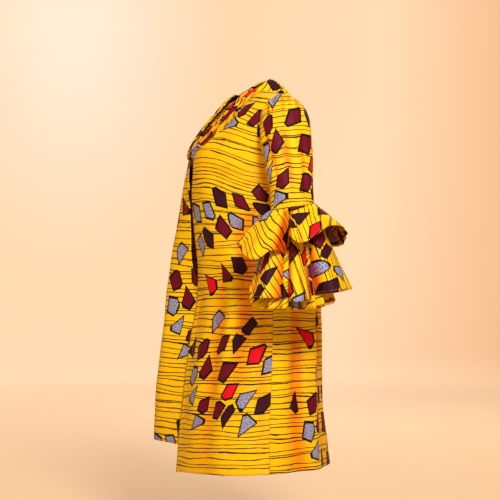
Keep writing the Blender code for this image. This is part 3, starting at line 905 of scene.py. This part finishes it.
for hand, side in HANDS:
    share = np.linspace(0, 1, FRONT_COLUMNS + 1)
    if side > 0:
        hem_middle = HEM.left_edge
        hem_level = blend(hem_middle, HEM.left_side, share**LEFT_HEM_CURVE)
    else:
        hem_middle = HEM.right_edge
        hem_level = blend(hem_middle, HEM.right_side, smooth(share))
        hem_level += RIGHT_HEM_LIFT * np.sin(math.pi * share)
    level, height, outer, bust_row = panel_rows(
        FRONT_LOW_ROWS, FRONT_HIGH_ROWS, hem_level, hem_middle, "front_x")
    free_edge = read(FRONT_EDGES, f"{hand}_x", level)
    seamed_edge = side * (read(BAND_SEAM, "x", level) + SEAM_GAP)
    inner = angle_at(np.where(level > BAND_FOOT, seamed_edge, free_edge), level)
    turn = blend(inner, side * outer, share[None, :])
    points, normals, fold_shade = worn(turn, level)
    if side < 0:
        below = smooth((UNDERLAP_FROM - level) / UNDERLAP_FADE)
        points[..., 1] += UNDERLAP_SINK * below * smooth(1 - (inner - turn) / UNDERLAP_TURN)
    drape = smooth((abs(np.degrees(turn)) - DRAPE_FROM_DEGREES) / DRAPE_SPREAD_DEGREES)
    drape = drape * smooth((height - DRAPE_BOTTOM) / DRAPE_FADE)
    drape = drape * blend(DRAPE_AT_SHOULDER, 1.0, smooth(-height / CHEST_HEIGHT))
    straight_up = CHEST_EASE * (points[bust_row:, :, 2] - points[bust_row, :, 2])
    height[bust_row:] = BUST + blend(climb(points, bust_row), straight_up, CHEST_LEVEL)
    uv = flat_pattern(points, 0, height + BUST_DRAPE * drape, fold_shade)
    foot_row = int((level[:, 0] < BAND_FOOT).sum())
    # Above the foot of the V the pattern starts as far out as the band's seam does.
    uv[foot_row:, :, 0] += abs(points[foot_row:, :1, 0]) - abs(points[foot_row, 0, 0])
    uv[..., 0] *= side
    points[-1, :, 1] -= SEAM_GAP / 2
    front_edges[side] = points[:, -1]
    free_rows = (np.swapaxes(array[:foot_row], 0, 1) for array in (points, normals))
    seams = [inset_line(points, normals, HEM_DEPTH), inset_line(*free_rows, EDGE_DEPTH)]
    stitch(f"front_stitches_{hand}", seams, thread)
    sheet = turned_in((points, normals, uv), Turning(1, False, 0.022), *PANEL_TURNINGS)
    cotton = printed_cotton(f"{hand} front", FRONT_SHIFTS[hand])
    lay_cloth(f"front_panel_{hand}", f"front_{hand}", sheet, cotton, flip=side < 0)

# The neckband: cloth laid in three folds lengthwise along each side of the neckline, from the
# foot of the V up to the shoulder seam, and crinkled where it bends.
NECK_EDGE = [Seam(*row) for row in (
    (0.000, 0.070),
    (-0.030, 0.063),
    (-0.057, 0.056),
    (-0.078, 0.046),
    (-0.105, 0.029),
    (-0.124, 0.017),
    (-0.148, 0.010),
)]
BAND_LAP = [Seam(*row) for row in (
    (0.000, 0.108),
    (-0.050, 0.105),
    (-0.072, 0.103),
    (-0.090, 0.098),
    (-0.110, 0.083),
    (-0.140, 0.057),
    (-0.164, 0.034),
    (BAND_FOOT, 0.019),
)]
BAND_ROWS = 100
BAND_COLUMNS = 48
BAND_STAND = 0.0014
BAND_FOLDS = 3
BAND_FOLD_HEIGHT = 0.0056
BAND_CRINKLE = 0.0008
BAND_SHADED = (0, 1 / 6, 1, 1 / 12)
INNER_STITCH_INSET = 0.0025
OUTER_STITCH_INSET = 0.0020
BAND_GRAIN = 0.45
BAND_SHIFTS = {"left": (0.080, 0.102), "right": (0.280, 0.492)}
for hand, side in HANDS:
    up_share = np.linspace(0, 1, BAND_ROWS + 1)[:, None]
    across = np.linspace(0, 1, BAND_COLUMNS + 1)[None, :]
    outer_level = BAND_FOOT * (1 - up_share)
    inner_level = blend(NECK_EDGE[-1].level, 0.0, up_share)
    inner = angle_at(read(NECK_EDGE, "x", inner_level), inner_level)
    outer = angle_at(read(BAND_LAP, "x", outer_level) - SEAM_GAP, outer_level)
    level = blend(inner_level, outer_level, across)
    points, normals, _ = worn(side * blend(inner, outer, across), level)
    wander = 0.05 * np.sin(9 * up_share + side) + 0.03 * np.sin(23 * up_share + 2 * side)
    arch = np.sin(math.pi * across)
    roll = (0.5 - 0.5 * np.cos(2 * math.pi * BAND_FOLDS * (across + wander * arch))) ** 0.7
    crinkle = BAND_CRINKLE * np.sin(38 * up_share + 5 * across + 3 * np.sin(14 * up_share)) * arch
    fade = smooth((1 - up_share) * 20) * (1 - 0.6 * smooth((up_share - 0.75) / 0.25))
    lift = (BAND_STAND + BAND_FOLD_HEIGHT * roll + crinkle) * fade
    points = points + normals * lift[..., None]
    points[-1, :, 1] -= SEAM_GAP / 2
    beside = way_along(points, 1).mean(axis=0)
    rise = way_along(points, 0).mean(axis=1)
    # Painted shade in the grooves between the band's folds.
    fold_shade = 1.1 * (1 - roll) ** 0.8 * faded(across, *BAND_SHADED)
    uv = np.stack(np.broadcast_arrays(rise[:, None] * side, beside[None, :], fold_shade), axis=-1)
    inward = [np.swapaxes(array, 0, 1) for array in (points, normals)]
    outward = [array[::-1] for array in inward]
    seams = [inset_line(*inward, INNER_STITCH_INSET), inset_line(*outward, OUTER_STITCH_INSET)]
    stitch(f"band_stitches_{hand}", seams, thread)
    sheet = turned_in((points, normals, uv), Turning(1, False, 0.010), Turning(0, False, 0.006))
    cotton = printed_cotton(f"{hand} band", BAND_SHIFTS[hand], side * BAND_GRAIN, beside[-1] / BAND_FOLDS)
    lay_cloth(f"neck_band_{hand}", f"neckband_{hand}", sheet, cotton,
              flip=side < 0)

# The sleeves: set in with small gathers at the top of the cap, and hanging to the elbow.
ELBOW_X = 0.252
ELBOW_Y = 0.045
ELBOW_Z = -0.310
ELBOW_HALF_X = 0.050
ELBOW_HALF_Y = 0.053
ELBOW_FRONT_DROP = 0.009
ARM_REACH = 0.100
ARM_HANGS_IN = 0.012
CAP_OUT = 0.80
CAP_SPREAD = 0.42
CAP_RISE = 0.42
CAP_DROP = 0.40
CAP_REACH = 0.062
FULL_SPAN = 0.25
BACK_FULLNESS = 0.30
BACK_RISE = 0.84
BACK_REACH = 0.15
HIGH_AT = -40
HIGH_SPREAD = 30
HIGH_FULLNESS = 0.30
HIGH_RISE = 0.35
HIGH_REACH = 0.30
SEAM_STAND = 0.0022
SEAM_STANDS = (0, 0.02, 0.12, 0.1)
SEAM_SHADE = 0.55
SEAM_SHADE_SPREAD = 0.014
GATHER_DEPTH = 0.0012
GATHERED_TOP = 1.6
GATHERED = (0, 0.05, 0.34, 0.3)
CAP_GATHERS = (18, 2.2, 3)
ELBOW_GATHERS = (34, 1.5, 5)
CUFF_GATHER_DEPTH = 0.0009
CUFF_GATHERED = (0.90, 0.08, 1, 0.012)
SLEEVE_RIPPLE = 0.0006
SLEEVE_RIPPLED = (0, 0.1, 1, 0.1)
RUCK_SHADE_DEPTH = 0.008
DEEPEST_RUCK_SHADE = 0.7
RIGHT_RUCKS_SHIFT = 7
CAP_HEIGHT = 0.055
SLEEVE_HEM = 0.010
SLEEVE_POINTS = 200
SLEEVE_ROWS = 76
SLEEVE_SHIFTS = {"left": (0.17, 0.375), "right": (0.90, 0.360)}
Ruck = namedtuple("Ruck", "turn down end_turn end_down width depth")
RUCKS = [Ruck(*row) for row in (
    (-5, 0.01, 2, 0.30, 3.2, 0.0060),
    (7, 0.01, 15, 0.40, 2.8, 0.0056),
    (19, 0.01, 29, 0.28, 3.2, 0.0062),
    (-18, 0.02, -12, 0.42, 3.6, 0.0054),
    (-31, 0.02, -29, 0.28, 3.2, 0.0050),
    (33, 0.01, 47, 0.38, 3.6, 0.0056),
    (-47, 0.04, -52, 0.36, 4.2, 0.0032),
    (62, 0.20, 48, 0.92, 8.0, 0.0055),
    (22, 0.42, 16, 0.98, 9.0, 0.0050),
    (-14, 0.50, -22, 0.99, 7.0, 0.0045),
    (-48, 0.38, -62, 0.95, 9.0, 0.0050),
    (96, 0.30, 100, 0.96, 9.0, 0.0050),
    (-98, 0.30, -92, 0.96, 9.0, 0.0045),
    (140, 0.25, 128, 0.90, 10.0, 0.0050),
    (-140, 0.25, -128, 0.90, 10.0, 0.0050),
)]


def uneven_wave(turn, count, sway, sways, start=0):
    """A wave round a ring, whose crests stand unevenly."""
    return np.sin(count * turn + sway * np.sin(sways * turn + start))


def outward_normals(points):
    """The outward directions on a tube of points, whose last column lies on its first."""
    normals = np.cross(np.gradient(points, axis=1), np.gradient(points, axis=0))
    normals[:, 0] = normals[:, -1] = (normals[:, 0] + normals[:, -1]) / 2
    normals = unit(normals)
    from_middle = points - points[:, :-1].mean(axis=1, keepdims=True)
    return normals * np.sign(np.sum(normals * from_middle, axis=-1).mean())


for hand, side in HANDS:
    front_run = front_edges[side][FRONT_LOW_ROWS - 1:][::-1]
    back_run = back_edges[side][BACK_LOW_ROWS - 1:]
    ring = np.concatenate([front_run, back_run[1:]])
    ring[0] = (ring[0] + back_run[-1]) / 2
    ring[-1] = ring[0]
    lengths = way_along(ring, 0)
    even = np.linspace(0, 1, SLEEVE_POINTS + 1)
    seam = points_at(even * lengths[-1], lengths, ring)[None]
    turn = 2 * math.pi * even[None, :]
    down = np.linspace(0, 1, SLEEVE_ROWS + 1)[:, None]
    behind = np.maximum(-np.sin(turn), 0) ** 2
    high = bell(degrees_from(np.degrees(turn), HIGH_AT), HIGH_SPREAD)
    leave = unit(np.stack([
        side * CAP_OUT + 0 * turn,
        BACK_FULLNESS * behind + HIGH_FULLNESS * high - CAP_SPREAD * np.sin(turn),
        BACK_RISE * behind + HIGH_RISE * high + CAP_RISE * np.cos(turn) - CAP_DROP,
    ], axis=-1))
    start = seam + leave * SEAM_GAP
    cuff = np.stack([
        side * (ELBOW_X + ELBOW_HALF_X * np.cos(turn)),
        ELBOW_Y - ELBOW_HALF_Y * np.sin(turn),
        ELBOW_Z - ELBOW_FRONT_DROP * np.sin(turn),
    ], axis=-1)
    span = np.linalg.norm(start - cuff, axis=-1, keepdims=True)
    shorter = np.clip(span / FULL_SPAN, 0.25, 1.0)
    cap_reach = CAP_REACH * (1 + BACK_REACH * behind + HIGH_REACH * high)
    reach = start + leave * cap_reach[..., None] * shorter
    hang = cuff + np.array((-side * ARM_HANGS_IN, 0, ARM_REACH)) * shorter
    d = down[..., None]
    points = start * (1 - d) ** 3 + reach * 3 * d * (1 - d) ** 2 + hang * 3 * d**2 * (1 - d) + cuff * d**3
    normals = outward_normals(points)
    depth = np.zeros_like(points[..., 0])
    for number, ruck in enumerate(RUCKS):
        uneven = 0 if side > 0 else RIGHT_RUCKS_SHIFT * math.sin(3 * number)
        t = (down - ruck.down) / (ruck.end_down - ruck.down)
        away = degrees_from(np.degrees(turn), blend(ruck.turn, ruck.end_turn, t) + uneven)
        depth += ruck.depth * np.sin(math.pi * np.clip(t, 0, 1) ** 0.6) * bell(away, ruck.width)
    gathers = smooth(np.cos(turn) * GATHERED_TOP) * faded(down, *GATHERED)
    depth += GATHER_DEPTH * gathers * uneven_wave(turn, *CAP_GATHERS)
    gathers = faded(down, *CUFF_GATHERED)
    depth += CUFF_GATHER_DEPTH * gathers * uneven_wave(turn, *ELBOW_GATHERS)
    depth += SLEEVE_RIPPLE * np.sin(5 * turn + 17 * down) * faded(down, *SLEEVE_RIPPLED)
    depth -= SEAM_STAND * faded(down, *SEAM_STANDS)
    depth *= smooth(down / SEAM_STANDS[1])
    # Painted shade in the rucks and along the armhole seam.
    fold_shade = np.clip(depth / RUCK_SHADE_DEPTH, 0, DEEPEST_RUCK_SHADE)
    fold_shade = fold_shade + SEAM_SHADE * bell(down, SEAM_SHADE_SPREAD)
    points = points - normals * depth[..., None]
    points[:, -1] = points[:, 0]
    fall = way_along(points, 0)
    fall = blend(fall, fall.mean(axis=1, keepdims=True), 0.6)
    around = way_along(points, 1)[:, -1:]
    cap = np.cos(turn) * CAP_HEIGHT * (1 - down) ** 2
    along_arm = blend(points[..., 2] * 1.04, cap - fall, 0.25) - depth * 0.9
    half = SLEEVE_POINTS // 2
    from_armpit = np.concatenate([np.arange(half, SLEEVE_POINTS), np.arange(half + 1)])
    points, normals, along_arm, fold_shade = (
        array[:, from_armpit] for array in (points, normals, along_arm, fold_shade))
    uv = np.stack([side * (0.5 - even[None, :]) * around, along_arm, fold_shade], axis=-1)
    sheet = [array[::-1] for array in turned_in((points, normals, uv), Turning(0, False, SLEEVE_HEM))]
    cotton = printed_cotton(f"{hand} sleeve", SLEEVE_SHIFTS[hand])
    lay_cloth(f"sleeve_tube_{hand}", f"sleeve_{hand}", sheet, cotton,
              closed=True, flip=side > 0)

# The flounces: three rings of cloth cut in a curve and sewn one inside the other at the elbow,
# so that they stand out in lobes. The hems are narrow and turned in.
FLOUNCE_POINTS = 300
FLOUNCE_ROWS = 40
ARM_LEAN = 0.080
CURVED_CUT = 1.25
LOBES_FROM = 0.12
LOBE_GROWTH = 0.8
FLUTE_GROWTH = 1.6
CALM_INSIDE = 0.35
RIGHT_SWAY = 0.004
PUCKER_DEPTH = 0.0017
PUCKER_LENGTH = 0.30
PUCKER_VARIES = 0.12
PUCKER_FADES = (0.02, 0.25)
HOLLOW_SHADE_DEPTH = 0.026
FLOUNCE_STITCH_INSET = 0.005
FLOUNCE_HEM = 0.006
Flounce = namedtuple(
    "Flounce", "name top_shrink front outer back inner flare flutes flute_height grain across up")
FLOUNCES = [Flounce(*row) for row in (
    ("top", 0.0000, 0.130, 0.110, 0.126, 0.055, 0.80, 15, 0.0016, 1.57, 0.130, 0.290),
    ("middle", 0.0016, 0.118, 0.104, 0.136, 0.049, 1.10, 23, 0.0016, 1.80, -0.010, 0.130),
    ("under", 0.0032, 0.094, 0.078, 0.102, 0.044, 1.25, 23, 0.0085, 0.35, 0.130, 0.400),
)]
# Where each lobe and hollow of a hem stands: its turn from the outer side in degrees, and in
# millimetres how far out of the flounce's plain ring it is and the height of the hem there.
LOBES = {
    "top": (
        (-78, 6, -384), (-58, 12, -372), (-40, 13, -357), (-27, 2, -358), (-16, -4, -372),
        (-3, 10, -388), (10, 12, -398), (17, 2, -388), (21, -24, -382), (26, -50, -428),
        (33, -34, -420), (42, 0, -418), (53, 14, -436), (66, 18, -434), (84, 8, -416),
        (103, 12, -400), (130, -10, -408), (155, 2, -404), (180, 0, -398), (208, 2, -404),
        (232, -10, -410), (258, 10, -404),
    ),
    "middle": (
        (-80, 6, -508), (-60, 10, -512), (-42, 12, -510), (-27, 12, -516), (-21, -4, -520),
        (-16, -32, -524), (-8, -24, -532), (3, 4, -536), (14, 12, -538), (21, 6, -538),
        (25, -22, -536), (32, -34, -532), (41, -8, -530), (52, 14, -530), (68, 10, -532),
        (86, -14, -524), (106, -1, -516), (132, -8, -524), (158, 3, -520), (182, -2, -522),
        (206, 3, -520), (232, -12, -524), (258, 6, -516),
    ),
    "under": (
        (-80, -6, -540), (-50, -8, -546), (-22, 4, -553), (8, -4, -558), (38, 6, -556),
        (70, 8, -556), (102, 18, -542), (140, -2, -550), (180, 0, -548), (220, -4, -550),
        (252, 4, -548),
    ),
}


def round_ring(lobes, column, turns):
    """Reads one column of a ring's table at each turn, on a smooth curve that closes on itself."""
    known, values = np.array([(lobe[0], lobe[column] / 1000) for lobe in lobes]).T
    turns = (turns - known[0]) % 360 + known[0]
    known = np.concatenate([known[-2:] - 360, known, known[:2] + 360])
    return on_curve(known, np.pad(values, 2, mode="wrap"), turns)


for hand, side in HANDS:
    for flounce in FLOUNCES:
        even = np.linspace(0, 1, FLOUNCE_POINTS + 1)
        turn = math.pi + 2 * math.pi * even[None, :]
        down = np.linspace(0, 1, FLOUNCE_ROWS + 1)[:, None]
        out, hem = (round_ring(LOBES[flounce.name], column, np.degrees(turn)) for column in (1, 2))
        outer_share = smooth(0.5 + 2.5 * np.cos(turn))
        front_share = smooth(0.5 + 2.5 * np.sin(turn))
        spread = down**flounce.flare
        shrink = flounce.top_shrink
        x = blend(ELBOW_HALF_X - shrink, blend(flounce.inner, flounce.outer, outer_share), spread)
        y = blend(ELBOW_HALF_Y - shrink, blend(flounce.back, flounce.front, front_share), spread)
        flute = np.sin(flounce.flutes * turn + 1.7 * np.sin(2 * turn + side) + 1.1 * np.sin(5 * turn))
        if side < 0:
            out = out + RIGHT_SWAY * np.sin(3 * turn + 2)
        calm = blend(CALM_INSIDE, 1.0, smooth(0.5 + np.cos(turn)))
        wave = out * down**LOBE_GROWTH * smooth(down / LOBES_FROM)
        wave = wave + flounce.flute_height * flute * calm * down**FLUTE_GROWTH
        pucker_ends = PUCKER_LENGTH + PUCKER_VARIES * np.sin(11 * turn) * np.sin(3 * turn + 1)
        pucker = PUCKER_DEPTH * uneven_wave(turn, *ELBOW_GATHERS, side)
        wave = wave + pucker * faded(down, 0, PUCKER_FADES[0], pucker_ends, PUCKER_FADES[1])
        top = ELBOW_Z - SEAM_GAP - shrink - ELBOW_FRONT_DROP * np.sin(turn)
        z = blend(top, hem, down)
        middle = ELBOW_X + ARM_LEAN * (ELBOW_Z - z)
        points = np.stack([
            side * (middle + (x + wave) * np.cos(turn)), ELBOW_Y - (y + wave) * np.sin(turn), z,
        ], axis=-1)
        points[:, -1] = points[:, 0]
        normals = outward_normals(points)
        length = way_along(points, 0)[-1].mean()
        girth = way_along(points, 1)[:, -1]
        sweep = CURVED_CUT * (girth[-1] - girth[0]) / length
        radius = girth[0] / sweep + down * length
        bend = sweep * (even[None, :] - 0.5)
        # Painted shade in the hollows between the lobes and in the troughs of the flutes.
        fold_shade = np.clip(-out / HOLLOW_SHADE_DEPTH, 0, 1) * smooth(down / 0.05) * (0.7 + 0.3 * down)
        fold_shade = fold_shade + np.clip(-flute, 0, 1) * 0.35 * calm * down
        uv = np.stack([side * radius * np.sin(bend), -radius * np.cos(bend), fold_shade], axis=-1)
        hem_line = inset_line(points[::-1], normals[::-1], FLOUNCE_STITCH_INSET)
        stitch(f"flounce_stitches_{flounce.name}_{hand}", [hem_line], thread)
        sheet = [array[::-1] for array in turned_in((points, normals, uv), Turning(0, True, FLOUNCE_HEM))]
        across = flounce.across if side > 0 else 3 * SPRAY_ACROSS - flounce.across
        shift = (across, flounce.up)
        cotton = printed_cotton(f"{hand} {flounce.name} flounce", shift, side * flounce.grain)
        lay_cloth(f"flounce_ring_{flounce.name}_{hand}", f"flounce_{flounce.name}_{hand}", sheet, cotton,
                  closed=True, flip=side > 0)
